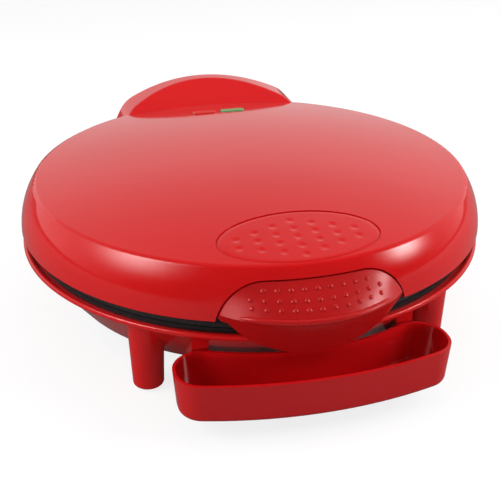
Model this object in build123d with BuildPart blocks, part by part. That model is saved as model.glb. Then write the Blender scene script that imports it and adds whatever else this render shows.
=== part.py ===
from build123d import *
import math
import os

os.makedirs("parts", exist_ok=True)

# Quesadilla maker, millimetres. +Z is up, and the front, with the latch,
# faces -Y. Sizes along Y are from the centre of the round body; each piece is
# written a little further back, with the middle of the footprint on the origin.

# ---- Levels above the table ------------------------------------------------
pad_stand = 0.8          # rubber pad showing under each leg
pan_foot = 17.5          # lower edge of the base pan
base_rim = 52.0          # top edge of the base rim
rim_gap = 9.0            # between the two rims
side_rise = 29.4         # from the lid's rim to where its side turns into the dome
dome_rise = 12.2         # from there to the crown
parting_rise = 1.3       # plane between the two plates above the base rim
lid_rim = base_rim + rim_gap
lid_crease = lid_rim + side_rise
lid_top = lid_crease + dome_rise
parting = base_rim + parting_rise

# ---- Round body ------------------------------------------------------------
wall = 2.5               # moulded plastic wall
body_radius = 154.0      # both rims
crease_inset = 10.5
crease_softness = 4.0
side_bulge = 2.5         # of the lid's side, beyond a straight one
rim_softness = 1.6
rim_overhang = 4.0       # rim outside the top of the pan
pan_taper = 24.0
rim_height = 3.5         # outer band of the base rim
shelf_drop = 2.3         # base shelf below the rim, under the plate flange
shelf_height = 2.2
shelf_inset = 14.0
shelf_step = 1.5         # slope between the shelf and the rim's inside
ledge_inset = 9.0        # ledge that the bottom cover meets
ledge_height = 2.0
cover_thickness = 2.0
cover_recess = 0.5       # cover above the pan's lower edge
edge_gap = 0.3           # round pieces that are set into others
crease_radius = body_radius - crease_inset
pan_top_radius = body_radius - rim_overhang
pan_foot_radius = pan_top_radius - pan_taper
shelf_inner_radius = body_radius - shelf_inset
ledge_radius = pan_foot_radius - ledge_inset

# ---- Legs and pads ---------------------------------------------------------
leg_x = body_radius - 65.0
leg_y = body_radius - 49.0
leg_foot_radius = 9.3
leg_top_radius = 11.1
leg_softness = 2.0
pad_radius = 6.5
pad_height = 2.6

# ---- Cooking plates --------------------------------------------------------
plate_radius = body_radius - 6.5              # outside of the flange
dish_radius = shelf_inner_radius - 2.0        # inside of the dish at its top
dish_slope = 3.5
plate_thickness = 3.0
dish_depth = 7.0
plate_gap = 0.6          # between the two flanges
ridge_height = 5.6
ridge_width = 6.0
ridge_draft = 8.0
ridge_reach = dish_radius - 7.0
hub_radius = 9.0
wedge_count = 6
fixing_radius = dish_radius - 28.0            # pitch circle of the plate fixings
fixing_angle = 45.0
fixing_count = 4
boss_radius = 5.0
boss_height = 5.0
spacer_height = 4.2
spacer_radius = 4.5
screw_radius = 1.9
screw_clearance = 0.3
thread_fit = 0.05
screw_head_radius = 3.8
screw_head_height = 2.4
screw_bite = 5.5         # screw inside the plate's boss
reflector_radius = fixing_radius + 13.0
reflector_sheet = 0.8
reflector_notch = 90.0   # rear opening that the leads pass
reflector_notch_depth = 28.0
bracket_width = 15.0
bracket_height = 3.0
bracket_overhang = 7.0   # past the fixing, towards the centre
element_radius = fixing_radius - 22.0
element_tube = 3.3
element_seat = 0.1
element_angle = 300.0
element_bend = 14.0
element_tail = 20.0

# ---- Bottom cover fixings --------------------------------------------------
cover_screw_circle = ledge_radius + 2.0
cover_screw_count = 6
cover_screw_radius = 1.4
cover_screw_length = 9.0
cover_head_radius = 3.0
cover_head_height = 1.6
cover_boss_radius = 4.5
cover_boss_height = 10.0
cover_rib_radius = cover_screw_circle - 24.0
vent_circle = cover_rib_radius - 33.0
vent_length = 34.0
vent_width = 4.0
vent_count = 12
cover_rib_height = 4.0
cover_rib_width = 2.0

# ---- Hinge -----------------------------------------------------------------
hinge_y = body_radius + 7.0
hinge_z = base_rim + 4.0
knuckle_radius = 6.0
arm_root_radius = 5.0
arm_root_y = body_radius - 13.0
arm_root_z = base_rim - 9.5
arm_x = 37.0             # centre of each base arm
arm_width = 10.0
lug_width = 8.0
lug_top = hinge_z + 20.0
hinge_side_gap = 0.5
hinge_pin_radius = 2.5
hinge_head_radius = 3.8
hinge_head_height = 1.2
running_fit = 0.05
swing_clearance = 1.0
conduit_length = 30.0
conduit_radius = 4.2
conduit_bore = 2.8
lead_radius = 1.2
lead_bore = 2.3
lead_bend = 5.0
lead_mouth = 1.3         # of the way from the hinge to the root of the arm
lead_tip = 0.05

# ---- Rear hump -------------------------------------------------------------
hump_top = lid_top + 3.8
hump_foot_half = 84.0    # half width at the rim
hump_shoulder_half = 66.0
hump_arch = 165.0
hump_corner = 22.0
hump_edge = 3.5          # rounding round the leaning face
hump_start = body_radius - 36.0
hump_back_radius = body_radius + 12.0
face_foot_y = body_radius - 25.5
face_foot_z = lid_crease + 2.4
face_lean = 64.0         # degrees from upright
face_bow = 560.0         # radius of the hollow face in plan
lens_length = 17.5
lens_width = 8.0
lens_corner = 1.8
lens_x = 11.0
lens_y = face_foot_y - 29.0
lens_proud = 0.8
lens_fit = 0.1
lens_flange = 1.2
lamp_radius = 2.4
lamp_length = 12.0
holder_height = 9.0
holder_wall = 1.6

# ---- Thermostat and fuse ---------------------------------------------------
thermostat_y = 40.0
thermostat_radius = 8.5
thermostat_height = 8.0
thermostat_flange = 1.2
thermostat_softness = 1.0
fuse_y = 40.0            # in front of the centre
fuse_radius = 2.2
fuse_length = 12.0
fuse_clip = 6.0
fuse_sheet = 0.8

# ---- Oval on the dome ------------------------------------------------------
oval_y = 37.5 - body_radius
oval_half_length = 48.5
oval_half_width = 25.5
oval_depth = 0.9

# ---- Front latch -----------------------------------------------------------
latch_top = lid_crease - 7.4
latch_lip = lid_rim + 5.0
latch_foot = base_rim - 10.5
latch_half_width = 55.1
latch_corner = 27.6
latch_chin = 79.0        # radius of the lower edge, seen from the front
latch_gap = 0.9          # seam round the handle
latch_wall = 2.6
latch_roof = 3.9         # wall at the handle's leaning front
lip_reach = 14.0         # lip in front of the lid's rim
lip_radius = 74.0        # lip, seen from above
lip_axis_y = lip_radius - lip_reach - body_radius
skirt_middle_radius = lip_radius - 4.4
skirt_middle_z = base_rim + 2.0
skirt_foot_radius = lip_radius - 11.0
# Height over the lip, reach in front of the lid's rim and plan radius
latch_sections = (
    (19.0, -7.5, 200.0),
    (14.0, -2.5, 119.0),
    (10.0, 3.2, 89.0),
    (5.0, 9.3, 77.0),
    (0.0, lip_reach, lip_radius),
)
latch_pivot_y = 4.5 - body_radius
latch_pivot_z = latch_lip + 4.5
latch_pin_radius = 1.5
latch_pin_length = 54.0
latch_boss_radius = 3.5
latch_boss_x = 24.5
latch_boss_width = 5.0
ear_x = 18.0
ear_width = 5.0
pocket_radius = body_radius - 18.0            # back wall of the pocket in the lid
pocket_step = 6.5        # foot of that wall, further out, past the plate
pocket_step_z = lid_rim + 5.8
pocket_wall = 2.2
tuck = 4.0               # how far the handle reaches under the lid's surface
rim_tuck = 3.5           # the same at the lid's rim
skirt_clearance = 1.4    # latch skirt outside the base rim
hook_half_width = 13.0
hook_reach = 3.0         # under the base rim
hook_height = 3.2
hook_gap = 0.4
spring_radius = 2.3
spring_wire = 0.45
spring_pitch = 1.4
spring_turns = 3.5

# ---- Lid liner -------------------------------------------------------------
liner_inner_radius = shelf_inner_radius + edge_gap
liner_outer_radius = body_radius - 5.2
liner_drop = 3.9         # underside of the liner below the lid's rim
liner_sheet = 2.0
liner_upstand = 1.5
liner_front_half = 58.0
liner_ledge_inner = liner_outer_radius - 5.8
liner_ledge_z = lid_rim + 5.3

# ---- Drip tray -------------------------------------------------------------
tray_top = base_rim - 15.0
tray_foot = tray_top - 25.5
tray_back = 7.5 - body_radius
tray_back_radius = body_radius - 11.1
tray_front = tray_back - 31.4
tray_front_radius = 268.4
tray_half_length = 81.1
tray_front_corner = 16.4
tray_back_corner = 17.0
tray_draft = 2.0
tray_wall = 1.7
tray_softness = 4.0
socket_x = 62.0
socket_width = 10.0
socket_z = tray_top - 10.0                    # middle of the slots for the tray's tongues
socket_foot = socket_z - 5.5
socket_top = base_rim - 7.0                   # inside the pan
socket_softness = 1.5
tray_seat = 0.5          # between the tray's back and the sockets
tongue_width = 6.0
tongue_height = 3.0
tongue_length = 10.5
tongue_clearance = 0.3

# ---- Cord entry and terminals ----------------------------------------------
gland_z = pan_foot + 11.5
gland_boss_radius = 9.0
gland_boss_y = body_radius - 11.0
gland_body_radius = 6.0
gland_flange_radius = 8.2
gland_flange_height = 2.0
gland_bore = 3.6
gland_inner_y = gland_boss_y - 15.0
block_length = 40.0
block_width = 16.0
block_height = 10.0
block_back_y = pan_foot_radius - 5.0
block_screw_radius = 2.2
block_screw_depth = 4.0
block_screw_pitch = 12.0
block_softness = 1.5

# ---- Derived sizes ---------------------------------------------------------
cone_slope = (pan_top_radius - pan_foot_radius) / (base_rim - rim_height - pan_foot)
cone_wall = wall * math.hypot(1, cone_slope)
shelf_top = base_rim - shelf_drop
shelf_bottom = shelf_top - shelf_height
cover_bottom = pan_foot + cover_recess
cover_top = cover_bottom + cover_thickness
ledge_top = cover_top + ledge_height
flange_top = parting - plate_gap / 2
flange_bottom = flange_top - plate_thickness
dish_floor = flange_top - dish_depth
plate_bottom = dish_floor - plate_thickness
boss_foot = plate_bottom - boss_height
reflector_top = boss_foot - spacer_height
bracket_top = reflector_top - reflector_sheet
bracket_bottom = bracket_top - bracket_height
bracket_reach = body_radius - fixing_radius + bracket_overhang
element_z = plate_bottom - element_seat - element_tube
dome_radius = (crease_radius**2 + dome_rise**2) / (2 * dome_rise)
side_chord = math.hypot(crease_inset, side_rise)
side_radius = (side_chord**2 / 4 + side_bulge**2) / (2 * side_bulge)
side_sink = (side_radius - side_bulge) / side_chord
side_axis_radius = (body_radius + crease_radius) / 2 - side_sink * side_rise
side_axis_z = (lid_rim + lid_crease) / 2 - side_sink * crease_inset
liner_bottom = lid_rim - liner_drop
socket_front = tray_back + tray_back_radius - math.sqrt(tray_back_radius**2 - socket_x**2) + tray_seat
plate_mirror = Plane.XY.offset(parting)
footprint_shift = -(tray_front + hinge_y + knuckle_radius) / 2


def pan_radius(z):
    """Outside radius of the cone-shaped pan at a height."""
    return pan_foot_radius + (z - pan_foot) * cone_slope


def lid_radius(z):
    """Outside radius of the lid's side at a height."""
    return side_axis_radius + math.sqrt(side_radius**2 - (z - side_axis_z) ** 2)


def dome_height(radius):
    """Height of the dome's outside at a distance from the centre."""
    return lid_top - dome_radius + math.sqrt(dome_radius**2 - radius**2)


def write(part, name):
    """Label a finished piece and write it in its place over the origin."""
    piece = part.moved(Location((0, footprint_shift, 0)))
    piece.label = name
    export_step(piece, f"parts/{name}.step")


# ---- Base housing ----------------------------------------------------------
with BuildPart() as pan_solid:
    with BuildSketch(Plane.XZ) as pan_profile:
        with BuildLine():
            Polyline(
                (0, pan_foot),
                (pan_foot_radius, pan_foot),
                (pan_top_radius, base_rim - rim_height),
                (body_radius, base_rim - rim_height),
                (body_radius, base_rim),
                (0, base_rim),
                close=True,
            )
        make_face()
        fillet(pan_profile.vertices().sort_by(Axis.X)[-2:], rim_softness)
    revolve(axis=Axis.Z)
    with BuildSketch(Plane.XY.offset(pad_stand)):
        with GridLocations(2 * leg_x, 2 * leg_y, 2, 2):
            Circle(leg_foot_radius)
    leg_taper = math.atan2(leg_top_radius - leg_foot_radius, base_rim - rim_height - pad_stand)
    extrude(amount=base_rim - rim_height - pad_stand, taper=-math.degrees(leg_taper))
    fillet(pan_solid.edges().group_by(Axis.Z)[0], leg_softness)
    # Holders for the tray's tongues
    for side in (-1, 1):
        with BuildSketch(Plane.XZ.offset(fixing_radius)):
            with Locations((side * socket_x, (socket_foot + socket_top) / 2)):
                RectangleRounded(socket_width, socket_top - socket_foot, socket_softness)
        extrude(amount=-socket_front - fixing_radius)
    # Hinge arms, and the middle arm that leads the wires to the hinge
    for x in (-arm_x, 0, arm_x):
        with BuildSketch(Plane.YZ.offset(x - arm_width / 2)):
            with Locations((hinge_y, hinge_z)):
                Circle(knuckle_radius)
            with Locations((arm_root_y, arm_root_z)):
                Circle(arm_root_radius)
            make_hull()
        extrude(amount=arm_width)
    # Boss for the cord's gland
    with BuildSketch(Plane.XZ.offset(-gland_boss_y)):
        with Locations((0, gland_z)):
            Circle(gland_boss_radius)
    extrude(amount=gland_boss_y - fixing_radius)

with BuildPart() as pan_void:
    with BuildSketch(Plane.XZ):
        with BuildLine():
            Polyline(
                (0, pan_foot),
                (pan_foot_radius - cone_wall, pan_foot),
                (pan_foot_radius - cone_wall, cover_top),
                (ledge_radius, cover_top),
                (ledge_radius, ledge_top),
                (pan_radius(ledge_top) - cone_wall, ledge_top),
                (pan_radius(shelf_bottom) - cone_wall, shelf_bottom),
                (shelf_inner_radius, shelf_bottom),
                (shelf_inner_radius, shelf_top),
                (body_radius - wall - shelf_step, shelf_top),
                (body_radius - wall, base_rim),
                (body_radius - wall, lid_top),
                (0, lid_top),
                close=True,
            )
        make_face()
    revolve(axis=Axis.Z)

with BuildPart() as base_brackets:
    with BuildSketch(Plane.XY.offset(bracket_bottom)):
        with PolarLocations(0, fixing_count, start_angle=fixing_angle):
            with Locations((fixing_radius - bracket_overhang, 0)):
                Rectangle(bracket_reach, bracket_width, align=(Align.MIN, Align.CENTER))
    extrude(amount=bracket_height)
    with BuildSketch(Plane.XY.offset(cover_top)):
        with PolarLocations(cover_screw_circle, cover_screw_count):
            Circle(cover_boss_radius)
            Rectangle(fixing_radius, ledge_height, align=(Align.MIN, Align.CENTER))
    extrude(amount=cover_boss_height)
    add(pan_solid.part, mode=Mode.INTERSECT)

with BuildPart() as base_housing:
    add(pan_solid.part)
    add(pan_void.part, mode=Mode.SUBTRACT)
    add(base_brackets.part)
    # Recesses for the rubber pads
    with BuildSketch(Plane.XY):
        with GridLocations(2 * leg_x, 2 * leg_y, 2, 2):
            Circle(pad_radius + edge_gap / 2)
    extrude(amount=pad_height, mode=Mode.SUBTRACT)
    # Screw holes for the plate and for the cover
    with BuildSketch(Plane.XY.offset(bracket_bottom)):
        with PolarLocations(fixing_radius, fixing_count, start_angle=fixing_angle):
            Circle(screw_radius + screw_clearance)
    extrude(amount=bracket_height, mode=Mode.SUBTRACT)
    with BuildSketch(Plane.XY.offset(cover_top)):
        with PolarLocations(cover_screw_circle, cover_screw_count):
            Circle(cover_screw_radius + thread_fit)
    extrude(amount=cover_screw_length, mode=Mode.SUBTRACT)
    # Slots for the tray's tongues
    with BuildSketch(Plane.XZ.offset(-socket_front)):
        with Locations((-socket_x, socket_z), (socket_x, socket_z)):
            Rectangle(tongue_width + 2 * tongue_clearance, tongue_height + 2 * tongue_clearance)
    extrude(amount=-tongue_length - tongue_clearance, mode=Mode.SUBTRACT)
    # Hinge bores, the conduit's bore and the wires' passage
    with BuildSketch(Plane.YZ.offset(arm_x - arm_width)):
        with Locations((hinge_y, hinge_z)):
            Circle(hinge_pin_radius + thread_fit)
    extrude(amount=2 * arm_width, mode=Mode.SUBTRACT)
    with BuildSketch(Plane.YZ.offset(-arm_x - arm_width)):
        with Locations((hinge_y, hinge_z)):
            Circle(hinge_pin_radius + thread_fit)
    extrude(amount=2 * arm_width, mode=Mode.SUBTRACT)
    with BuildSketch(Plane.YZ.offset(-arm_width)):
        with Locations((hinge_y, hinge_z)):
            Circle(conduit_radius + thread_fit)
    extrude(amount=2 * arm_width, mode=Mode.SUBTRACT)
    arm_direction = Vector(0, arm_root_y - hinge_y, arm_root_z - hinge_z)
    with BuildSketch(Plane(origin=(0, hinge_y, hinge_z), z_dir=arm_direction)):
        Circle(lead_bore)
    extrude(amount=arm_direction.length + 2 * arm_root_radius, mode=Mode.SUBTRACT)
    # Bore for the gland
    with BuildSketch(Plane.XZ.offset(-gland_boss_y)):
        with Locations((0, gland_z)):
            Circle(gland_body_radius + thread_fit)
    extrude(amount=gland_boss_y - fixing_radius, mode=Mode.SUBTRACT)
write(base_housing.part, "base_housing")

# ---- Foot pads -------------------------------------------------------------
with BuildPart() as foot_pads:
    with BuildSketch(Plane.XY):
        with GridLocations(2 * leg_x, 2 * leg_y, 2, 2):
            Circle(pad_radius)
    extrude(amount=pad_height)
write(foot_pads.part, "foot_pads")

# ---- Bottom cover with its vents and rib -----------------------------------
with BuildPart() as bottom_cover:
    with BuildSketch(Plane.XY.offset(cover_bottom)):
        Circle(pan_foot_radius - cone_wall - edge_gap)
        with PolarLocations(vent_circle, vent_count):
            SlotOverall(vent_length, vent_width, mode=Mode.SUBTRACT)
    extrude(amount=cover_thickness)
    with BuildSketch(Plane.XY.offset(cover_top)):
        Circle(cover_rib_radius)
        Circle(cover_rib_radius - cover_rib_width, mode=Mode.SUBTRACT)
    extrude(amount=cover_rib_height)
    with Locations(Plane(origin=(0, 0, cover_bottom), z_dir=(0, 0, -1))):
        with PolarLocations(cover_screw_circle, cover_screw_count):
            CounterSinkHole(
                cover_screw_radius + screw_clearance,
                cover_head_radius + screw_clearance,
                depth=cover_thickness,
            )
write(bottom_cover.part, "bottom_cover")

with BuildPart() as bottom_screws:
    with BuildSketch(Plane.XY.offset(cover_bottom)):
        with PolarLocations(cover_screw_circle, cover_screw_count):
            Circle(cover_head_radius)
    head_slope = math.atan2(cover_head_radius - cover_screw_radius, cover_head_height)
    extrude(amount=cover_head_height, taper=math.degrees(head_slope))
    with BuildSketch(Plane.XY.offset(cover_bottom)):
        with PolarLocations(cover_screw_circle, cover_screw_count):
            Circle(cover_screw_radius)
    extrude(amount=cover_screw_length)
write(bottom_screws.part, "bottom_screws")

# ---- Lower cooking plate ---------------------------------------------------
with BuildPart() as lower_plate:
    with BuildSketch(Plane.XZ):
        with BuildLine():
            Polyline(
                (0, dish_floor),
                (dish_radius - dish_slope, dish_floor),
                (dish_radius, flange_top),
                (plate_radius, flange_top),
                (plate_radius, flange_bottom),
                (shelf_inner_radius - edge_gap, flange_bottom),
                (dish_radius - dish_slope + plate_thickness, plate_bottom),
                (0, plate_bottom),
                close=True,
            )
        make_face()
    revolve(axis=Axis.Z)
    # Wedge ridges that press the seams between the portions
    with BuildSketch(Plane.XY.offset(dish_floor)):
        Circle(hub_radius)
        with PolarLocations(0, wedge_count):
            Rectangle(ridge_reach, ridge_width, align=(Align.MIN, Align.CENTER))
    extrude(amount=ridge_height, taper=ridge_draft)
    with BuildSketch(Plane.XY.offset(boss_foot)):
        with PolarLocations(fixing_radius, fixing_count, start_angle=fixing_angle):
            Circle(boss_radius)
    extrude(amount=boss_height)
    with BuildSketch(Plane.XY.offset(boss_foot)):
        with PolarLocations(fixing_radius, fixing_count, start_angle=fixing_angle):
            Circle(screw_radius + thread_fit)
    extrude(amount=screw_bite + screw_clearance, mode=Mode.SUBTRACT)
write(lower_plate.part, "lower_plate")

# ---- Lower element: a loop under the plate with two tails to the back ------
with BuildPart() as lower_element:
    half_gap = math.radians((360 - element_angle) / 2)
    end_x = element_radius * math.sin(half_gap)
    end_y = element_radius * math.cos(half_gap)
    turn = 90 - math.degrees(half_gap)
    with BuildLine(Plane.XY.offset(element_z)) as loop:
        loop_arc = ThreePointArc((end_x, end_y), (0, -element_radius), (-end_x, end_y))
        left_bend = JernArc(loop_arc @ 1, loop_arc % 1, element_bend, turn)
        left_tail = Line(left_bend @ 1, (left_bend @ 1) + (left_bend % 1) * element_tail)
        mirror(left_bend, about=Plane.YZ)
        mirror(left_tail, about=Plane.YZ)
    tail_end = left_tail @ 1
    with BuildSketch(Plane(origin=tail_end, z_dir=(0, 1, 0))):
        Circle(element_tube)
    sweep(path=loop.wires()[0])
write(lower_element.part, "lower_element")

# ---- Lower reflector, spacers and plate screws -----------------------------
with BuildPart() as lower_reflector:
    with BuildSketch(Plane.XY.offset(bracket_top)):
        Circle(reflector_radius)
        with PolarLocations(fixing_radius, fixing_count, start_angle=fixing_angle):
            Circle(screw_radius + screw_clearance, mode=Mode.SUBTRACT)
        with Locations((0, reflector_radius)):
            Rectangle(reflector_notch, 2 * reflector_notch_depth, mode=Mode.SUBTRACT)
    extrude(amount=reflector_sheet)
write(lower_reflector.part, "lower_reflector")

with BuildPart() as lower_spacers:
    with BuildSketch(Plane.XY.offset(reflector_top)):
        with PolarLocations(fixing_radius, fixing_count, start_angle=fixing_angle):
            Circle(spacer_radius)
            Circle(screw_radius + screw_clearance, mode=Mode.SUBTRACT)
    extrude(amount=spacer_height)
write(lower_spacers.part, "lower_spacers")

with BuildPart() as lower_plate_screws:
    with BuildSketch(Plane.XY.offset(bracket_bottom - screw_head_height)):
        with PolarLocations(fixing_radius, fixing_count, start_angle=fixing_angle):
            Circle(screw_head_radius)
    extrude(amount=screw_head_height)
    with BuildSketch(Plane.XY.offset(bracket_bottom - screw_head_height)):
        with PolarLocations(fixing_radius, fixing_count, start_angle=fixing_angle):
            Circle(screw_radius)
    extrude(amount=boss_foot + screw_bite - bracket_bottom + screw_head_height)
write(lower_plate_screws.part, "lower_plate_screws")

# ---- The lid's plate, element and fixings mirror the base's ----------------
for lower, name in (
    (lower_plate, "upper_plate"),
    (lower_element, "upper_element"),
    (lower_reflector, "upper_reflector"),
    (lower_spacers, "upper_spacers"),
    (lower_plate_screws, "upper_plate_screws"),
):
    with BuildPart() as upper_piece:
        mirror(lower.part, about=plate_mirror)
    write(upper_piece.part, name)

# ---- Hinge pins, conduit and the cord's gland ------------------------------
with BuildPart() as hinge_pins:
    pin_length = arm_width + 2 * (hinge_side_gap + lug_width)
    for side in (-1, 1):
        start = side * (arm_x - pin_length / 2)
        with BuildSketch(Plane(origin=(start, hinge_y, hinge_z), z_dir=(side, 0, 0))):
            Circle(hinge_pin_radius)
        extrude(amount=pin_length)
        with BuildSketch(Plane(origin=(start + side * pin_length, hinge_y, hinge_z), z_dir=(side, 0, 0))):
            Circle(hinge_head_radius)
        extrude(amount=hinge_head_height)
write(hinge_pins.part, "hinge_pins")

with BuildPart() as hinge_conduit:
    with BuildSketch(Plane.YZ.offset(-conduit_length / 2)):
        with Locations((hinge_y, hinge_z)):
            Circle(conduit_radius)
            Circle(conduit_bore, mode=Mode.SUBTRACT)
    extrude(amount=conduit_length)
    with BuildSketch(Plane(origin=(0, hinge_y, hinge_z), z_dir=arm_direction)):
        Circle(lead_bore)
    extrude(amount=2 * conduit_radius, mode=Mode.SUBTRACT)
write(hinge_conduit.part, "hinge_conduit")

with BuildPart() as cord_gland:
    with BuildSketch(Plane.XZ.offset(-gland_inner_y)):
        with Locations((0, gland_z)):
            Circle(gland_body_radius)
    extrude(amount=gland_inner_y - gland_boss_y)
    with BuildSketch(Plane.XZ.offset(-gland_boss_y)):
        with Locations((0, gland_z)):
            Circle(gland_flange_radius)
    extrude(amount=-gland_flange_height)
    with BuildSketch(Plane.XZ.offset(-gland_inner_y)):
        with Locations((0, gland_z)):
            Circle(gland_bore)
    extrude(amount=gland_inner_y - gland_boss_y - gland_flange_height, mode=Mode.SUBTRACT)
write(cord_gland.part, "cord_gland")

# ---- Terminal block on the base's ledge, and the leads ---------------------
with BuildPart() as terminal_block:
    with BuildSketch(Plane.XY.offset(ledge_top)):
        with Locations((0, block_back_y - block_width / 2)):
            Rectangle(block_length, block_width)
    extrude(amount=block_height)
    fillet(terminal_block.edges().filter_by(Axis.Z), block_softness)
    with BuildSketch(Plane.XY.offset(ledge_top + block_height)):
        with Locations((0, block_back_y - block_width / 3)):
            with GridLocations(block_screw_pitch, 1, 3, 1):
                Circle(block_screw_radius)
    extrude(amount=-block_screw_depth, mode=Mode.SUBTRACT)
write(terminal_block.part, "terminal_block")


def lead(*points):
    """A round wire through the given corners."""
    with BuildPart() as wire:
        with BuildLine():
            route = FilletPolyline(*points, radius=lead_bend)
        with BuildSketch(Plane(origin=route @ 0, z_dir=route % 0)):
            Circle(lead_radius)
        sweep()
    return wire.part


tail_point = Vector(abs(tail_end.X), tail_end.Y, tail_end.Z)
block_top = ledge_top + block_height
lead_row_y = block_back_y - block_width + 2 * lead_radius
with BuildPart() as base_leads:
    element_lead = lead(
        tail_point,
        tail_point + (0, 2 * lead_bend, 0),
        (block_screw_pitch, block_back_y - lead_radius, element_z),
        (block_screw_pitch, lead_row_y, element_z - lead_bend / 2),
        (block_screw_pitch, lead_row_y, block_top),
    )
    add(element_lead)
    add(element_lead.mirror(Plane.YZ))
write(base_leads.part, "base_leads")

hinge_point = Vector(0, hinge_y, hinge_z)
with BuildPart() as hinge_lead:
    add(
        lead(
            (0, block_back_y - 2 * lead_radius, block_top),
            (0, block_back_y - 2 * lead_radius, block_top + lead_bend + lead_radius),
            hinge_point + arm_direction * lead_mouth,
            hinge_point + arm_direction * lead_tip,
        )
    )
write(hinge_lead.part, "hinge_lead")


# ---- Lid forms -------------------------------------------------------------
def lid_form(inset):
    """The lid's round body, solid, with its walls moved in by the inset."""
    with BuildPart() as form:
        with BuildSketch(Plane.XZ) as profile:
            half_way = crease_radius / 2
            side_middle = (lid_rim + lid_crease) / 2
            crease_z = dome_height(crease_radius - inset) - inset
            crease = (crease_radius - inset, crease_z)
            with BuildLine():
                Line((0, lid_top - inset), (0, lid_rim))
                Line((0, lid_rim), (body_radius - inset, lid_rim))
                ThreePointArc(
                    (body_radius - inset, lid_rim),
                    (lid_radius(side_middle) - inset, side_middle),
                    crease,
                )
                ThreePointArc(crease, (half_way, dome_height(half_way) - inset), (0, lid_top - inset))
            make_face()
            fillet(profile.vertices().sort_by_distance(crease)[0], crease_softness)
        revolve(axis=Axis.Z)
    return form.part


def hump_form(inset):
    """The hump at the back of the lid, solid, with its walls moved in by the inset."""
    top_z = hump_top - inset
    arch = hump_arch - inset
    shoulder = hump_shoulder_half - inset
    shoulder_z = top_z - arch + math.sqrt(arch**2 - shoulder**2)
    foot = hump_foot_half - inset
    face_slope = math.tan(math.radians(face_lean))
    face_radius = face_bow + inset * math.hypot(1, face_slope)
    face_centre_y = face_foot_y - face_bow
    with BuildPart() as form:
        # Straight flanks under an arch
        with BuildSketch(Plane.XZ.offset(-hump_start)) as section:
            with BuildLine():
                Polyline((-shoulder, shoulder_z), (-foot, lid_rim), (foot, lid_rim), (shoulder, shoulder_z))
                ThreePointArc((shoulder, shoulder_z), (0, top_z), (-shoulder, shoulder_z))
            make_face()
            fillet(section.vertices().sort_by(Axis.Y)[-2:], hump_corner - inset)
        extrude(amount=hump_start - hump_back_radius)
        with BuildSketch(Plane.XY.offset(lid_rim)):
            Circle(hump_back_radius - inset)
        extrude(amount=hump_top, mode=Mode.INTERSECT)
        # Leaning face, slightly hollow in plan
        with BuildSketch(Plane(origin=(0, face_centre_y, 0), x_dir=(1, 0, 0), z_dir=(0, -1, 0))):
            with BuildLine():
                Polyline(
                    (0, lid_rim),
                    (face_radius - (face_foot_z - lid_rim) * face_slope, lid_rim),
                    (face_radius + face_foot_z * face_slope, 2 * face_foot_z),
                    (0, 2 * face_foot_z),
                    close=True,
                )
            make_face()
        revolve(axis=Axis((0, face_centre_y, 0), (0, 0, 1)), mode=Mode.SUBTRACT)
        face = form.faces().filter_by(GeomType.CONE)[0]
        fillet(face.edges().filter_by(lambda edge: edge.center().Z > face_foot_z), hump_edge - inset)
    return form.part


# ---- Latch forms -----------------------------------------------------------
def latch_outline(grow, chin):
    """Front view of the handle, grown all round, with or without its curved lower edge."""
    with BuildSketch(Plane.XZ.offset(fixing_radius)) as outline:
        with Locations((0, latch_top)):
            Rectangle(
                2 * latch_half_width,
                latch_top - latch_foot + latch_corner,
                align=(Align.CENTER, Align.MAX),
            )
        fillet(outline.vertices().sort_by(Axis.Y)[-2:], latch_corner)
        if chin:
            with Locations((0, latch_foot + latch_chin)):
                Circle(latch_chin, mode=Mode.INTERSECT)
        if grow:
            offset(amount=grow)
    return outline.sketch


def latch_front(inset, drop):
    """Block behind the front surface of the handle, lip and skirt."""
    half = latch_half_width + latch_wall
    with BuildPart() as block:
        for height, reach, radius in latch_sections:
            front_y = drop - body_radius - reach
            side_y = front_y + radius - drop - math.sqrt((radius - drop) ** 2 - half**2)
            with BuildSketch(Plane.XY.offset(latch_lip + height)):
                with BuildLine():
                    ThreePointArc((-half, side_y), (0, front_y), (half, side_y))
                    Polyline((half, side_y), (half, -fixing_radius), (-half, -fixing_radius), (-half, side_y))
                make_face()
        loft()
        with BuildSketch(Plane(origin=(0, lip_axis_y, 0), x_dir=(1, 0, 0), z_dir=(0, -1, 0))):
            with BuildLine():
                Line((0, latch_foot), (0, latch_lip))
                Line((0, latch_lip), (lip_radius - drop, latch_lip))
                ThreePointArc(
                    (lip_radius - drop, latch_lip),
                    (skirt_middle_radius - inset, skirt_middle_z),
                    (skirt_foot_radius - inset, latch_foot),
                )
                Line((skirt_foot_radius - inset, latch_foot), (0, latch_foot))
            make_face()
        revolve(axis=Axis((0, lip_axis_y, 0), (0, 0, 1)))
    return block.part


def pocket_form(inset):
    """The handle's space in the lid, between a round back wall and the outside."""
    radius = pocket_radius - inset
    with BuildPart() as form:
        extrude(latch_outline(latch_gap + inset, False), amount=body_radius - fixing_radius + lip_radius)
        with BuildSketch(Plane.XY):
            Circle(radius + pocket_step)
        extrude(amount=pocket_step_z - inset, mode=Mode.SUBTRACT)
        with BuildSketch(Plane.XY):
            Circle(radius)
        extrude(amount=lid_top, mode=Mode.SUBTRACT)
    return form.part


# ---- Lid housing -----------------------------------------------------------
lid_outer = lid_form(0)

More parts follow.
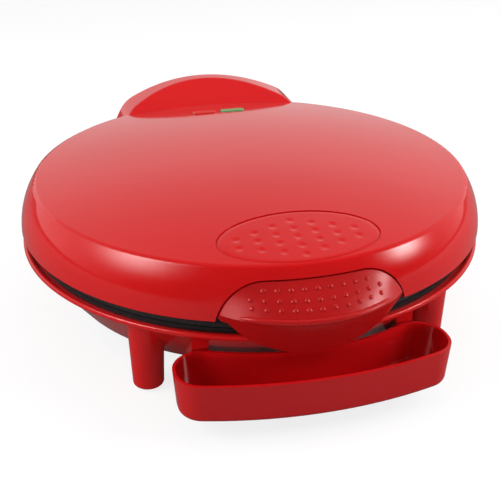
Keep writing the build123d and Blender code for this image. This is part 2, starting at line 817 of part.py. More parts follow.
with BuildPart() as lid_inside_forms:
    # Ledge for the liner
    with BuildSketch(Plane.XY.offset(liner_ledge_z)):
        Circle(body_radius)
        Circle(liner_ledge_inner, mode=Mode.SUBTRACT)
    extrude(amount=liner_sheet)
    # Brackets that carry the upper plate
    with BuildSketch(Plane.XY.offset(2 * parting - bracket_top)):
        with PolarLocations(0, fixing_count, start_angle=fixing_angle):
            with Locations((fixing_radius - bracket_overhang, 0)):
                Rectangle(bracket_reach, bracket_width, align=(Align.MIN, Align.CENTER))
    extrude(amount=bracket_height)
    with BuildSketch(Plane.XY.offset(2 * parting - bracket_top)):
        with PolarLocations(fixing_radius, fixing_count, start_angle=fixing_angle):
            Circle(screw_radius + screw_clearance)
    extrude(amount=bracket_height, mode=Mode.SUBTRACT)
    # Walls of the pocket behind the latch
    add(pocket_form(pocket_wall))
    add(lid_outer, mode=Mode.INTERSECT)

with BuildPart() as oval_recess:
    with BuildSketch(Plane.XY.offset(lid_rim)):
        with Locations((0, oval_y)):
            Ellipse(oval_half_length, oval_half_width)
    extrude(amount=lid_top)
    add(lid_outer.moved(Location((0, 0, -oval_depth))), mode=Mode.SUBTRACT)
    with BuildSketch(Plane.XY.offset(lid_rim - lid_top)):
        Circle(body_radius)
    extrude(amount=lid_top + oval_depth, mode=Mode.SUBTRACT)

lens_slope = math.asin(lens_y / dome_radius)


def lens_plane(x, depth):
    """Plane along the dome's surface at a lens, sunk by a depth."""
    normal = Vector(0, math.sin(lens_slope), math.cos(lens_slope))
    surface = Vector(x, lens_y, dome_height(math.hypot(lens_x, lens_y)))
    return Plane(origin=surface - normal * depth, x_dir=(1, 0, 0), z_dir=normal)


lug_offset = arm_width / 2 + hinge_side_gap + lug_width / 2
lug_places = (-arm_x - lug_offset, -arm_x + lug_offset, arm_x - lug_offset, arm_x + lug_offset)

with BuildPart() as lid_lugs:
    for x in lug_places:
        with BuildSketch(Plane.YZ.offset(x - lug_width / 2)):
            with Locations((hinge_y, hinge_z)):
                Circle(knuckle_radius)
            with Locations((hinge_y - knuckle_radius, lug_top), (hinge_y - 2 * knuckle_radius, lug_top)):
                Circle(knuckle_radius - wall)
            make_hull()
        extrude(amount=lug_width)

with BuildPart() as lid_housing:
    add(lid_outer)
    add(hump_form(0))
    add(lid_form(wall), mode=Mode.SUBTRACT)
    add(hump_form(wall), mode=Mode.SUBTRACT)
    add(lid_inside_forms.part)
    add(pocket_form(0), mode=Mode.SUBTRACT)
    add(oval_recess.part, mode=Mode.SUBTRACT)
    # Room behind for the base's arms, then the lid's own lugs
    for x in (-arm_x, 0, arm_x):
        with BuildSketch(Plane.YZ.offset(x - arm_width / 2 - hinge_side_gap)):
            with Locations((hinge_y, hinge_z)):
                Circle(knuckle_radius + swing_clearance)
                Rectangle(2 * (knuckle_radius + swing_clearance), knuckle_radius + 2 * swing_clearance)
        extrude(amount=arm_width + 2 * hinge_side_gap, mode=Mode.SUBTRACT)
    add(lid_lugs.part)
    with BuildSketch(Plane.YZ.offset(-body_radius)):
        with Locations((hinge_y, hinge_z)):
            Circle(hinge_pin_radius + running_fit)
    extrude(amount=2 * body_radius, mode=Mode.SUBTRACT)
    # Ears for the latch pin
    for x in (-ear_x, ear_x):
        with BuildSketch(Plane.YZ.offset(x - ear_width / 2)):
            with Locations((latch_pivot_y, latch_pivot_z)):
                Circle(latch_boss_radius)
            with Locations((-pocket_radius - pocket_wall, latch_pivot_z)):
                Circle(latch_boss_radius)
            make_hull()
            with Locations((latch_pivot_y, latch_pivot_z)):
                Circle(latch_pin_radius + thread_fit, mode=Mode.SUBTRACT)
        extrude(amount=ear_width)
    # Openings for the two lenses
    for x in (-lens_x, lens_x):
        with BuildSketch(lens_plane(x, -lens_proud)):
            RectangleRounded(lens_length + 2 * lens_fit, lens_width + 2 * lens_fit, lens_corner + lens_fit)
        extrude(amount=-holder_height, mode=Mode.SUBTRACT)
write(lid_housing.part, "lid_housing")

# ---- Lid liner: the dark ring round the upper plate ------------------------
with BuildPart() as lid_liner:
    with BuildSketch(Plane.XZ):
        with BuildLine():
            Polyline(
                (liner_inner_radius, liner_bottom),
                (liner_outer_radius, liner_bottom),
                (liner_outer_radius, liner_ledge_z),
                (liner_outer_radius - liner_upstand, liner_ledge_z),
                (liner_outer_radius - liner_upstand, liner_bottom + liner_sheet),
                (liner_inner_radius, liner_bottom + liner_sheet),
                close=True,
            )
        make_face()
    revolve(axis=Axis.Z)
    with BuildSketch(Plane.XY.offset(lid_rim - latch_gap)):
        with Locations((0, -body_radius)):
            Rectangle(2 * liner_front_half, 2 * (body_radius - fixing_radius))
    extrude(amount=liner_ledge_z, mode=Mode.SUBTRACT)
write(lid_liner.part, "lid_liner")

# ---- Latch handle ----------------------------------------------------------
with BuildPart() as latch_blank:
    add(latch_front(0, 0))
    extrude(latch_outline(0, True), amount=lip_radius + latch_half_width, mode=Mode.INTERSECT)

with BuildPart() as latch_hollow:
    add(latch_front(latch_wall, latch_roof))
    extrude(latch_outline(-latch_wall, True), amount=lip_radius + latch_half_width, mode=Mode.INTERSECT)

with BuildPart() as latch_back_cut:
    skirt_radius = body_radius + skirt_clearance
    with BuildSketch(Plane.XZ):
        with BuildLine():
            Polyline(
                (0, 0),
                (skirt_radius, 0),
                (skirt_radius, lid_rim + edge_gap),
                (body_radius - rim_tuck, lid_rim + edge_gap),
                (lid_radius(latch_lip) - tuck, latch_lip),
                (lid_radius(lid_crease) - tuck, lid_crease),
                (0, lid_crease),
                close=True,
            )
        make_face()
    revolve(axis=Axis.Z)

# Hook under the base's rim
with BuildPart() as latch_hook:
    with BuildSketch(Plane.XY.offset(base_rim - rim_height - hook_gap - hook_height)):
        with Locations((0, -body_radius)):
            Rectangle(2 * hook_half_width, body_radius)
        Circle(body_radius - hook_reach, mode=Mode.SUBTRACT)
    extrude(amount=hook_height)
    add(latch_blank.part, mode=Mode.INTERSECT)

# Bosses on the pin, each on a web from the front
with BuildPart() as latch_bosses:
    for x in (-latch_boss_x, latch_boss_x):
        with BuildSketch(Plane.YZ.offset(x - latch_boss_width / 2)):
            with Locations((latch_pivot_y, latch_pivot_z)):
                Circle(latch_boss_radius)
            with Locations((lip_axis_y - lip_radius + 2 * latch_boss_radius, latch_lip + latch_boss_radius / 2)):
                Circle(latch_boss_radius)
            make_hull()
            with Locations((latch_pivot_y, latch_pivot_z)):
                Circle(latch_pin_radius + running_fit, mode=Mode.SUBTRACT)
        extrude(amount=latch_boss_width)
    add(latch_blank.part, mode=Mode.INTERSECT)

with BuildPart() as latch_handle:
    add(latch_blank.part)
    add(latch_hollow.part, mode=Mode.SUBTRACT)
    add(latch_back_cut.part, mode=Mode.SUBTRACT)
    add(latch_bosses.part)
    add(latch_hook.part)
write(latch_handle.part, "latch_handle")

with BuildPart() as latch_pin:
    with BuildSketch(Plane.YZ.offset(-latch_pin_length / 2)):
        with Locations((latch_pivot_y, latch_pivot_z)):
            Circle(latch_pin_radius)
    extrude(amount=latch_pin_length)
    chamfer(latch_pin.edges(), latch_pin_radius / 5)
write(latch_pin.part, "latch_pin")

# ---- Latch spring: a coil round the pin ------------------------------------
with BuildPart() as latch_spring:
    coil_length = spring_pitch * spring_turns
    with BuildLine() as coil:
        Helix(
            spring_pitch,
            coil_length,
            spring_radius,
            center=(-coil_length / 2, latch_pivot_y, latch_pivot_z),
            direction=(1, 0, 0),
        )
    with BuildSketch(Plane(origin=coil.line @ 0, z_dir=coil.line % 0)):
        Circle(spring_wire)
    sweep()
write(latch_spring.part, "latch_spring")

# ---- Indicator lenses, lamps and their holder ------------------------------
for x, name in ((-lens_x, "power_lens"), (lens_x, "ready_lens")):
    with BuildPart() as lens:
        with BuildSketch(lens_plane(x, wall + edge_gap)):
            RectangleRounded(lens_length, lens_width, lens_corner)
        extrude(amount=wall + edge_gap + lens_proud)
        fillet(lens.faces().sort_by(Axis.Z)[-1].edges(), lens_proud / 2)
        with BuildSketch(lens_plane(x, wall + edge_gap)):
            RectangleRounded(lens_length + lens_flange, lens_width + 2 * lens_flange, lens_corner)
        extrude(amount=-lens_flange)
    write(lens.part, name)

holder_top = wall + edge_gap + lens_flange
lamp_depth = holder_top + edge_gap + lamp_radius
with BuildPart() as indicator_lamps:
    for x in (-lens_x, lens_x):
        lamp_plane = lens_plane(x, lamp_depth)
        with BuildSketch(Plane(origin=lamp_plane.origin - lamp_plane.x_dir * lamp_length / 2, z_dir=(1, 0, 0))):
            Circle(lamp_radius)
        extrude(amount=lamp_length)
    fillet(indicator_lamps.edges().filter_by(GeomType.CIRCLE), lamp_radius / 2)
write(indicator_lamps.part, "indicator_lamps")

with BuildPart() as lamp_holder:
    holder_length = 2 * lens_x + lens_length + lens_flange
    holder_width = lens_width + 2 * lens_flange
    with BuildSketch(lens_plane(0, holder_top)):
        RectangleRounded(holder_length, holder_width, lens_corner)
    extrude(amount=-holder_height)
    with BuildSketch(lens_plane(0, holder_top)):
        with Locations((-lens_x, 0), (lens_x, 0)):
            Rectangle(lamp_length + edge_gap, holder_width - 2 * holder_wall)
    extrude(amount=-2 * (lamp_radius + edge_gap), mode=Mode.SUBTRACT)
write(lamp_holder.part, "lamp_holder")

# ---- Thermostat and thermal fuse on the back of the upper plate ------------
upper_back = 2 * parting - plate_bottom
with BuildPart() as thermostat:
    with BuildSketch(Plane.XY.offset(upper_back)):
        with Locations((0, thermostat_y)):
            Circle(thermostat_radius)
            SlotOverall(4 * thermostat_radius, thermostat_radius)
    extrude(amount=thermostat_flange)
    with BuildSketch(Plane.XY.offset(upper_back)):
        with Locations((0, thermostat_y)):
            Circle(thermostat_radius)
    extrude(amount=thermostat_height)
    fillet(thermostat.faces().sort_by(Axis.Z)[-1].edges(), thermostat_softness)
write(thermostat.part, "thermostat")

with BuildPart() as thermal_fuse:
    with BuildSketch(Plane.XZ.offset(fuse_y - fuse_length / 2)):
        with Locations((0, upper_back + fuse_radius + wall / 2)):
            Circle(fuse_radius)
    extrude(amount=fuse_length)
    with BuildSketch(Plane.XZ.offset(fuse_y - fuse_clip / 2)):
        with Locations((0, upper_back + fuse_radius + wall / 2)):
            Circle(fuse_radius + fuse_sheet)
        with Locations((0, upper_back + fuse_sheet / 2)):
            Rectangle(6 * fuse_radius, fuse_sheet)
            Rectangle(2 * fuse_radius, wall)
        with Locations((0, upper_back)):
            Rectangle(8 * fuse_radius, 4 * fuse_radius, align=(Align.CENTER, Align.MAX), mode=Mode.SUBTRACT)
    extrude(amount=fuse_clip)
write(thermal_fuse.part, "thermal_fuse")

# ---- Leads in the lid, from the hinge to the element's tails ---------------
upper_tail = Vector(tail_point.X, tail_point.Y, 2 * parting - element_z)
lead_x = conduit_length / 2 + 2 * lead_radius
with BuildPart() as lid_leads:
    upper_lead = lead(
        (2 * lead_radius, hinge_y, hinge_z),
        (lead_x, hinge_y, hinge_z),
        (lead_x, hinge_y - 2 * lead_bend, lug_top),
        upper_tail + (0, 3 * lead_bend, lead_bend),
        upper_tail + (0, 2 * lead_bend, 0),
        upper_tail,
    )
    add(upper_lead)
    add(upper_lead.mirror(Plane.YZ))
write(lid_leads.part, "lid_leads")


# ---- Drip tray -------------------------------------------------------------
def tray_form(inset, top):
    """The tray's outside, or with an inset its inside."""
    half = tray_half_length - inset
    front_radius = tray_front_radius - inset
    back_radius = tray_back_radius + inset
    front_centre = tray_front + tray_front_radius
    back_centre = tray_back + tray_back_radius
    front_y = front_centre - math.sqrt(front_radius**2 - half**2)
    back_y = back_centre - math.sqrt(back_radius**2 - half**2)
    with BuildPart() as form:
        with BuildSketch(Plane.XY.offset(top)) as outline:
            with BuildLine():
                ThreePointArc((-half, front_y), (0, tray_front + inset), (half, front_y))
                Line((half, front_y), (half, back_y))
                ThreePointArc((half, back_y), (0, tray_back - inset), (-half, back_y))
                Line((-half, back_y), (-half, front_y))
            make_face()
            fillet(outline.vertices().group_by(Axis.Y)[0], tray_front_corner - inset)
            fillet(outline.vertices().group_by(Axis.Y)[-1], tray_back_corner - inset)
        depth = tray_top - tray_foot - inset
        extrude(amount=tray_foot + inset - top, taper=math.degrees(math.atan2(tray_draft, depth)))
        fillet(form.faces().sort_by(Axis.Z)[0].edges(), tray_softness - inset / 2)
    return form.part


with BuildPart() as drip_tray:
    add(tray_form(0, tray_top))
    for x in (-socket_x, socket_x):
        with BuildSketch(Plane.XZ.offset(tongue_length - socket_front)):
            with Locations((x, socket_z)):
                Rectangle(tongue_width, tongue_height)
        extrude(amount=-2 * tongue_length + tongue_clearance)
    add(tray_form(tray_wall, tray_top + tray_wall), mode=Mode.SUBTRACT)
write(drip_tray.part, "drip_tray")
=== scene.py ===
import math
import bpy
from mathutils import Matrix, Vector
from mathutils.bvhtree import BVHTree


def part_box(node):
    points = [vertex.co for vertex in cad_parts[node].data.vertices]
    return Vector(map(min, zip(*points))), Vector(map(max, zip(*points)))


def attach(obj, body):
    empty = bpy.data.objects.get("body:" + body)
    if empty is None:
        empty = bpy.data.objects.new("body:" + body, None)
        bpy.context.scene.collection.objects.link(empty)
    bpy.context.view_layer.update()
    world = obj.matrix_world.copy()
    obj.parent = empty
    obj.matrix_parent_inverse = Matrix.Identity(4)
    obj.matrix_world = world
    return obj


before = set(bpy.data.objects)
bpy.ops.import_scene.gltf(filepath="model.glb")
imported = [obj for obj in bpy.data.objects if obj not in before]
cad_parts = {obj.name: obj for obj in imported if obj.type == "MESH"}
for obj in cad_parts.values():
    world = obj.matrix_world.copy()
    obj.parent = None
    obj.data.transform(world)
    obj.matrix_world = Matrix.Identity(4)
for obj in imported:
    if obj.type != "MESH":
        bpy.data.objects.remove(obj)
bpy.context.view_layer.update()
print("frame loaded:", len(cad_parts), "nodes")

scene = bpy.context.scene
scene.view_settings.view_transform = "Standard"


# camera first, at the photograph's angle
cameraSetup = {
    "place": (-0.14392, -0.57086, 0.33073),
    "target": (0.00018, 0.00540, 0.02702),
    "lens": 67.907,
    "sensor": 36,
    "nearest": 0.02,
}


def addCamera(setup):
    place = Vector(setup["place"])
    aim = (Vector(setup["target"]) - place).to_track_quat("-Z", "Y")
    bpy.ops.object.camera_add(location=place, rotation=aim.to_euler())
    camera = bpy.context.object
    camera.data.lens = setup["lens"]
    camera.data.sensor_width = setup["sensor"]
    camera.data.clip_start = setup["nearest"]
    scene.camera = camera


addCamera(cameraSetup)
print("camera placed")


# studio: a bright backdrop, soft boxes and a pale floor
studio = {
    "backdrop": 1.0,
    "ambient": 0.36,
    # what shiny surfaces mirror: dark in front, bright behind, fading towards the ceiling
    "gloss": {"frontY": -0.35, "backY": 0.45, "front": 0.03, "back": 1.08},
    "fade": {"lowZ": 0.40, "highZ": 0.87, "low": 1.0, "high": 0.27},
    "glints": {
        # name: (azimuth from the front, elevation, tightness, strength)
        "leftGlint": (-78, 38, 30, 14.0),
        "rightGlint": (70, 24, 90, 20.0),
    },
    "boxes": {
        # name: (azimuth from the front, elevation, distance, width, height, watts)
        "overheadBox": (165, 66, 1.35, 1.3, 1.0, 4.0),
        "leftBox": (-88, 30, 1.15, 0.95, 0.80, 11.0),
        "rightBox": (80, 28, 1.15, 0.95, 0.80, 13.0),
        "frontBox": (-6, 3, 1.60, 1.60, 0.30, 7.5),
    },
    "floorSize": 7.0,
    "floorShade": (0.21, 0.21, 0.21, 1),
    "floorGlow": 0.81,      # for the camera, so that the floor is white and keeps the shadow
    "floorGloss": 0.03,     # for reflections
}


def skyDirection(azimuth, elevation):
    turn, rise = math.radians(azimuth), math.radians(elevation)
    return Vector((math.sin(turn) * math.cos(rise), -math.cos(turn) * math.cos(rise), math.sin(rise)))


def addMath(nodes, operation, second=None):
    step = nodes.new("ShaderNodeMath")
    step.operation = operation
    if second is not None:
        step.inputs[1].default_value = second
    return step


def addSpread(nodes, fromLow, fromHigh, toLow, toHigh):
    spread = nodes.new("ShaderNodeMapRange")
    spread.inputs["From Min"].default_value = fromLow
    spread.inputs["From Max"].default_value = fromHigh
    spread.inputs["To Min"].default_value = toLow
    spread.inputs["To Max"].default_value = toHigh
    return spread


def addGlint(nodes, links, where, before, azimuth, elevation, tightness, strength):
    facing = nodes.new("ShaderNodeVectorMath")
    facing.operation = "DOT_PRODUCT"
    facing.inputs[1].default_value = skyDirection(azimuth, elevation)
    ahead = addMath(nodes, "MAXIMUM", 0.0)
    lobe = addMath(nodes, "POWER", tightness)
    total = addMath(nodes, "MULTIPLY_ADD", strength)
    links.new(where.outputs["Generated"], facing.inputs[0])
    links.new(facing.outputs["Value"], ahead.inputs[0])
    links.new(ahead.outputs["Value"], lobe.inputs[0])
    links.new(lobe.outputs["Value"], total.inputs[0])
    links.new(before, total.inputs[2])
    return total.outputs["Value"]


def buildWorld(setup):
    world = bpy.data.worlds.new("studioWorld")
    world.use_nodes = True
    scene.world = world
    nodes, links = world.node_tree.nodes, world.node_tree.links
    nodes.clear()
    output = nodes.new("ShaderNodeOutputWorld")
    where = nodes.new("ShaderNodeTexCoord")
    paths = nodes.new("ShaderNodeLightPath")
    split = nodes.new("ShaderNodeSeparateXYZ")
    spread = addSpread(nodes, *setup["gloss"].values())
    fade = addSpread(nodes, *setup["fade"].values())
    mirrored = addMath(nodes, "MULTIPLY")
    links.new(where.outputs["Generated"], split.inputs["Vector"])
    links.new(split.outputs["Y"], spread.inputs["Value"])
    links.new(split.outputs["Z"], fade.inputs["Value"])
    links.new(spread.outputs["Result"], mirrored.inputs[0])
    links.new(fade.outputs["Result"], mirrored.inputs[1])
    total = mirrored.outputs["Value"]
    for values in setup["glints"].values():
        total = addGlint(nodes, links, where, total, *values)
    # glossy and clear surfaces see the mirrored sky, the camera sees the backdrop, the rest the ambient light
    seen = addMath(nodes, "MAXIMUM")
    pickGlossy = nodes.new("ShaderNodeMix")
    pickCamera = nodes.new("ShaderNodeMix")
    glow = nodes.new("ShaderNodeBackground")
    pickGlossy.inputs["A"].default_value = setup["ambient"]
    pickCamera.inputs["B"].default_value = setup["backdrop"]
    links.new(paths.outputs["Is Glossy Ray"], seen.inputs[0])
    links.new(paths.outputs["Is Transmission Ray"], seen.inputs[1])
    links.new(seen.outputs["Value"], pickGlossy.inputs["Factor"])
    links.new(total, pickGlossy.inputs["B"])
    links.new(pickGlossy.outputs["Result"], pickCamera.inputs["A"])
    links.new(paths.outputs["Is Camera Ray"], pickCamera.inputs["Factor"])
    links.new(pickCamera.outputs["Result"], glow.inputs["Strength"])
    links.new(glow.outputs["Background"], output.inputs["Surface"])


def addBox(name, azimuth, elevation, distance, width, height, watts):
    place = distance * skyDirection(azimuth, elevation)
    aim = (-place).to_track_quat("-Z", "Y")
    bpy.ops.object.light_add(type="AREA", location=place, rotation=aim.to_euler())
    lamp = bpy.context.object
    lamp.name = name
    lamp.data.shape = "RECTANGLE"
    lamp.data.size = width
    lamp.data.size_y = height
    lamp.data.energy = watts
    lamp.visible_glossy = False  # the world's glints stand for it in reflections


def buildFloor(setup):
    bpy.ops.mesh.primitive_plane_add(size=setup["floorSize"], location=(0, 0, 0))
    floor = bpy.context.object
    floor.name = "studioFloor"
    material = bpy.data.materials.new("paleFloor")
    material.use_nodes = True
    nodes, links = material.node_tree.nodes, material.node_tree.links
    nodes.clear()
    output = nodes.new("ShaderNodeOutputMaterial")
    paths = nodes.new("ShaderNodeLightPath")
    matt = nodes.new("ShaderNodeBsdfDiffuse")
    matt.inputs["Color"].default_value = setup["floorShade"]
    glow = nodes.new("ShaderNodeEmission")
    direct = addMath(nodes, "MULTIPLY", setup["floorGlow"])
    level = addMath(nodes, "MULTIPLY_ADD", setup["floorGloss"])
    both = nodes.new("ShaderNodeAddShader")
    links.new(paths.outputs["Is Camera Ray"], direct.inputs[0])
    links.new(paths.outputs["Is Glossy Ray"], level.inputs[0])
    links.new(direct.outputs["Value"], level.inputs[2])
    links.new(level.outputs["Value"], glow.inputs["Strength"])
    links.new(matt.outputs["BSDF"], both.inputs[0])
    links.new(glow.outputs["Emission"], both.inputs[1])
    links.new(both.outputs["Shader"], output.inputs["Surface"])
    floor.data.materials.append(material)


buildWorld(studio)
for boxName, boxValues in studio["boxes"].items():
    addBox(boxName, *boxValues)
buildFloor(studio)
print("studio lit")


# what every finish starts from: two close colours in soft clouds, and a fine grain
def startMaterial(name):
    material = bpy.data.materials.new(name)
    material.use_nodes = True
    nodes = material.node_tree.nodes
    shader = nodes["Principled BSDF"]
    where = nodes.new("ShaderNodeTexCoord")
    return material, nodes, material.node_tree.links, shader, where


def addCloud(nodes, links, where, scale, detail=3.0):
    cloud = nodes.new("ShaderNodeTexNoise")
    cloud.inputs["Scale"].default_value = scale
    cloud.inputs["Detail"].default_value = detail
    links.new(where.outputs["Object"], cloud.inputs["Vector"])
    return cloud.outputs["Fac"]


def addColors(nodes, links, shader, source, colors, low=0.35, high=0.65):
    ramp = nodes.new("ShaderNodeValToRGB")
    for element, position, color in zip(ramp.color_ramp.elements, (low, high), colors):
        element.position = position
        element.color = (*color, 1)
    links.new(source, ramp.inputs["Fac"])
    links.new(ramp.outputs["Color"], shader.inputs["Base Color"])


def addRoughness(nodes, links, shader, source, rough):
    spread = addSpread(nodes, 0.0, 1.0, *rough)
    links.new(source, spread.inputs["Value"])
    links.new(spread.outputs["Result"], shader.inputs["Roughness"])


def addBump(nodes, links, shader, source, depth, distance=0.0004):
    bump = nodes.new("ShaderNodeBump")
    bump.inputs["Strength"].default_value = depth
    bump.inputs["Distance"].default_value = distance
    links.new(source, bump.inputs["Height"])
    links.new(bump.outputs["Normal"], shader.inputs["Normal"])


plastics = {
    "redBody": {
        "colors": ((0.58, 0.0065, 0.0075), (0.61, 0.0080, 0.0090)), "cloud": 9,
        "rough": (0.08, 0.12), "grain": 1400, "depth": 0.006, "specular": 0.5},
    # the latch's red is the body's red painted darker, as painted shade for its front face; its rougher, less shiny
    # skin is its own
    "redLatchPaintedShade": {
        "colors": ((0.42, 0.0060, 0.0065), (0.45, 0.0075, 0.0080)), "cloud": 14,
        "rough": (0.24, 0.30), "grain": 1500, "depth": 0.008, "specular": 0.4},
    "redTray": {
        "colors": ((0.55, 0.0050, 0.0070), (0.58, 0.0065, 0.0085)), "cloud": 11,
        "rough": (0.11, 0.17), "grain": 1300, "depth": 0.008, "specular": 0.5},
    "blackPlastic": {
        "colors": ((0.003, 0.003, 0.003), (0.006, 0.006, 0.006)), "cloud": 40,
        "rough": (0.42, 0.58), "grain": 2200, "depth": 0.05, "specular": 0.5},
    "blackRubber": {
        "colors": ((0.016, 0.016, 0.016), (0.028, 0.027, 0.026)), "cloud": 90,
        "rough": (0.70, 0.85), "grain": 2600, "depth": 0.10, "specular": 0.5},
    "whitePlastic": {
        "colors": ((0.72, 0.70, 0.64), (0.78, 0.76, 0.70)), "cloud": 60,
        "rough": (0.40, 0.52), "grain": 1800, "depth": 0.03, "specular": 0.5},
}


def mouldedPlastic(name, finish):
    material, nodes, links, shader, where = startMaterial(name)
    cloud = addCloud(nodes, links, where, finish["cloud"])
    grain = addCloud(nodes, links, where, finish["grain"], detail=2.0)
    addColors(nodes, links, shader, cloud, finish["colors"])
    addRoughness(nodes, links, shader, cloud, finish["rough"])
    addBump(nodes, links, shader, grain, finish["depth"])
    shader.inputs["Specular IOR Level"].default_value = finish["specular"]
    return material


metals = {
    "zincSteel": {
        "colors": ((0.52, 0.53, 0.54), (0.64, 0.64, 0.63)), "cloud": 260,
        "rough": (0.26, 0.42), "grain": 900, "depth": 0.04, "metal": 1.0},
    "rolledSheet": {
        "colors": ((0.66, 0.67, 0.68), (0.76, 0.76, 0.77)), "cloud": 70,
        "rough": (0.22, 0.36), "grain": 700, "depth": 0.03, "metal": 1.0},
    "tintedTube": {
        "colors": ((0.24, 0.20, 0.17), (0.34, 0.31, 0.29)), "cloud": 45,
        "rough": (0.40, 0.60), "grain": 1200, "depth": 0.08, "metal": 1.0},
    # the plates' coating hides their metal
    "nonStick": {
        "colors": ((0.012, 0.012, 0.013), (0.026, 0.026, 0.027)), "cloud": 700,
        "rough": (0.34, 0.50), "grain": 1600, "depth": 0.12, "metal": 0.0},
}


def metalSurface(name, finish):
    material, nodes, links, shader, where = startMaterial(name)
    cloud = addCloud(nodes, links, where, finish["cloud"])
    grain = addCloud(nodes, links, where, finish["grain"], detail=4.0)
    addColors(nodes, links, shader, cloud, finish["colors"])
    addRoughness(nodes, links, shader, grain, finish["rough"])
    addBump(nodes, links, shader, grain, finish["depth"])
    shader.inputs["Metallic"].default_value = finish["metal"]
    return material


lenses = {
    "redLens": {
        "colors": ((0.42, 0.012, 0.010), (0.58, 0.040, 0.030)), "glow": (0.9, 0.05, 0.03), "strength": 0.12,
        "ribs": 160, "waver": 0.4, "rough": (0.06, 0.12), "skin": 0.6, "skinRough": 0.04},
    "greenLens": {
        "colors": ((0.008, 0.24, 0.09), (0.030, 0.42, 0.19)), "glow": (0.02, 0.75, 0.25), "strength": 0.10,
        "ribs": 160, "waver": 0.4, "rough": (0.06, 0.12), "skin": 0.6, "skinRough": 0.04},
}


def lensSurface(name, finish):
    material, nodes, links, shader, where = startMaterial(name)
    ribs = nodes.new("ShaderNodeTexWave")  # fine prisms under the clear skin
    ribs.inputs["Scale"].default_value = finish["ribs"]
    ribs.inputs["Distortion"].default_value = finish["waver"]
    links.new(where.outputs["Object"], ribs.inputs["Vector"])
    addColors(nodes, links, shader, ribs.outputs["Fac"], finish["colors"], low=0.2, high=0.8)
    addRoughness(nodes, links, shader, ribs.outputs["Fac"], finish["rough"])
    shader.inputs["Emission Color"].default_value = (*finish["glow"], 1)
    shader.inputs["Emission Strength"].default_value = finish["strength"]
    shader.inputs["Coat Weight"].default_value = finish["skin"]
    shader.inputs["Coat Roughness"].default_value = finish["skinRough"]
    return material


sleeves = {
    "braid": {
        "colors": ((0.70, 0.66, 0.55), (0.46, 0.42, 0.33)), "weave": 900,
        "rough": (0.55, 0.75), "depth": 0.3, "height": 0.0003},
}


def braidedSleeve(name, finish):
    material, nodes, links, shader, where = startMaterial(name)
    weave = nodes.new("ShaderNodeTexVoronoi")
    weave.inputs["Scale"].default_value = finish["weave"]
    links.new(where.outputs["Object"], weave.inputs["Vector"])
    addColors(nodes, links, shader, weave.outputs["Distance"], finish["colors"], low=0.1, high=0.7)
    addRoughness(nodes, links, shader, weave.outputs["Distance"], finish["rough"])
    addBump(nodes, links, shader, weave.outputs["Distance"], finish["depth"], finish["height"])
    return material


glasses = {
    "neon": {"colors": ((0.86, 0.80, 0.74), (0.90, 0.62, 0.48)), "cloud": 220, "rough": (0.03, 0.08), "clear": 0.7},
}


def neonGlass(name, finish):
    material, nodes, links, shader, where = startMaterial(name)
    cloud = addCloud(nodes, links, where, finish["cloud"])
    addColors(nodes, links, shader, cloud, finish["colors"])
    addRoughness(nodes, links, shader, cloud, finish["rough"])
    shader.inputs["Transmission Weight"].default_value = finish["clear"]
    return material


materials = {}
for family, makeSurface in (
    (plastics, mouldedPlastic),
    (metals, metalSurface),
    (lenses, lensSurface),
    (sleeves, braidedSleeve),
    (glasses, neonGlass),
):
    for finishName, finishValues in family.items():
        materials[finishName] = makeSurface(finishName, finishValues)
print("finishes made:", len(materials))


# every carried-over node gets its finish
nodeFinish = {
    "redBody": ["base_housing", "lid_housing"],
    # the latch handle, its grip dots and lip bead take the body's red painted darker, as painted shade
    "redLatchPaintedShade": ["latch_handle"],
    "redTray": ["drip_tray"],
    "blackPlastic": ["bottom_cover", "lid_liner", "hinge_conduit"],
    "blackRubber": ["foot_pads", "cord_gland"],
    "whitePlastic": ["terminal_block", "lamp_holder"],
    "zincSteel": [
        "bottom_screws", "lower_spacers", "upper_spacers", "lower_plate_screws", "upper_plate_screws",
        "hinge_pins", "latch_pin", "latch_spring", "thermostat", "thermal_fuse"],
    "rolledSheet": ["lower_reflector", "upper_reflector"],
    "tintedTube": ["lower_element", "upper_element"],
    "nonStick": ["lower_plate", "upper_plate"],
    "redLens": ["power_lens"],
    "greenLens": ["ready_lens"],
    "braid": ["base_leads", "hinge_lead", "lid_leads"],
    "neon": ["indicator_lamps"],
}


def finishNodes(setup):
    for finishName, nodeNames in setup.items():
        for nodeName in nodeNames:
            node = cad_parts[nodeName]
            if not node.material_slots:
                node.data.materials.append(materials[finishName])
            for holder in node.material_slots:
                holder.material = materials[finishName]
    return sum(len(nodeNames) for nodeNames in setup.values())


print("nodes finished:", finishNodes(nodeFinish))


# tools for the pieces that are added here
mm = 0.001
plateLow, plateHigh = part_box("upper_plate")
bodyY = (plateLow.y + plateHigh.y) / 2  # middle of the round body
settling = {"weld": 0.002, "smoothAngle": 40}


def surfaceOf(nodeName):
    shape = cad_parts[nodeName].data
    corners = [vertex.co.copy() for vertex in shape.vertices]
    return BVHTree.FromPolygons(corners, [tuple(face.vertices) for face in shape.polygons])


def startPiece(name):
    bpy.ops.object.select_all(action="DESELECT")
    piece = bpy.context.object
    piece.name = piece.data.name = name
    piece.select_set(True)
    return piece


def selectPieces(pieces):
    bpy.ops.object.select_all(action="DESELECT")
    for piece in pieces:
        piece.select_set(True)
    bpy.context.view_layer.objects.active = pieces[0]


def settlePiece(piece, body, finishName):
    selectPieces([piece])
    bpy.ops.object.transform_apply(location=True, rotation=True, scale=True)
    bpy.ops.object.mode_set(mode="EDIT")
    bpy.ops.mesh.select_all(action="SELECT")
    bpy.ops.mesh.remove_doubles(threshold=settling["weld"] * mm)
    bpy.ops.mesh.normals_make_consistent(inside=False)
    bpy.ops.object.mode_set(mode="OBJECT")
    piece.data.materials.clear()
    piece.data.materials.append(materials[finishName])
    bpy.ops.object.shade_smooth_by_angle(angle=math.radians(settling["smoothAngle"]))
    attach(piece, body)


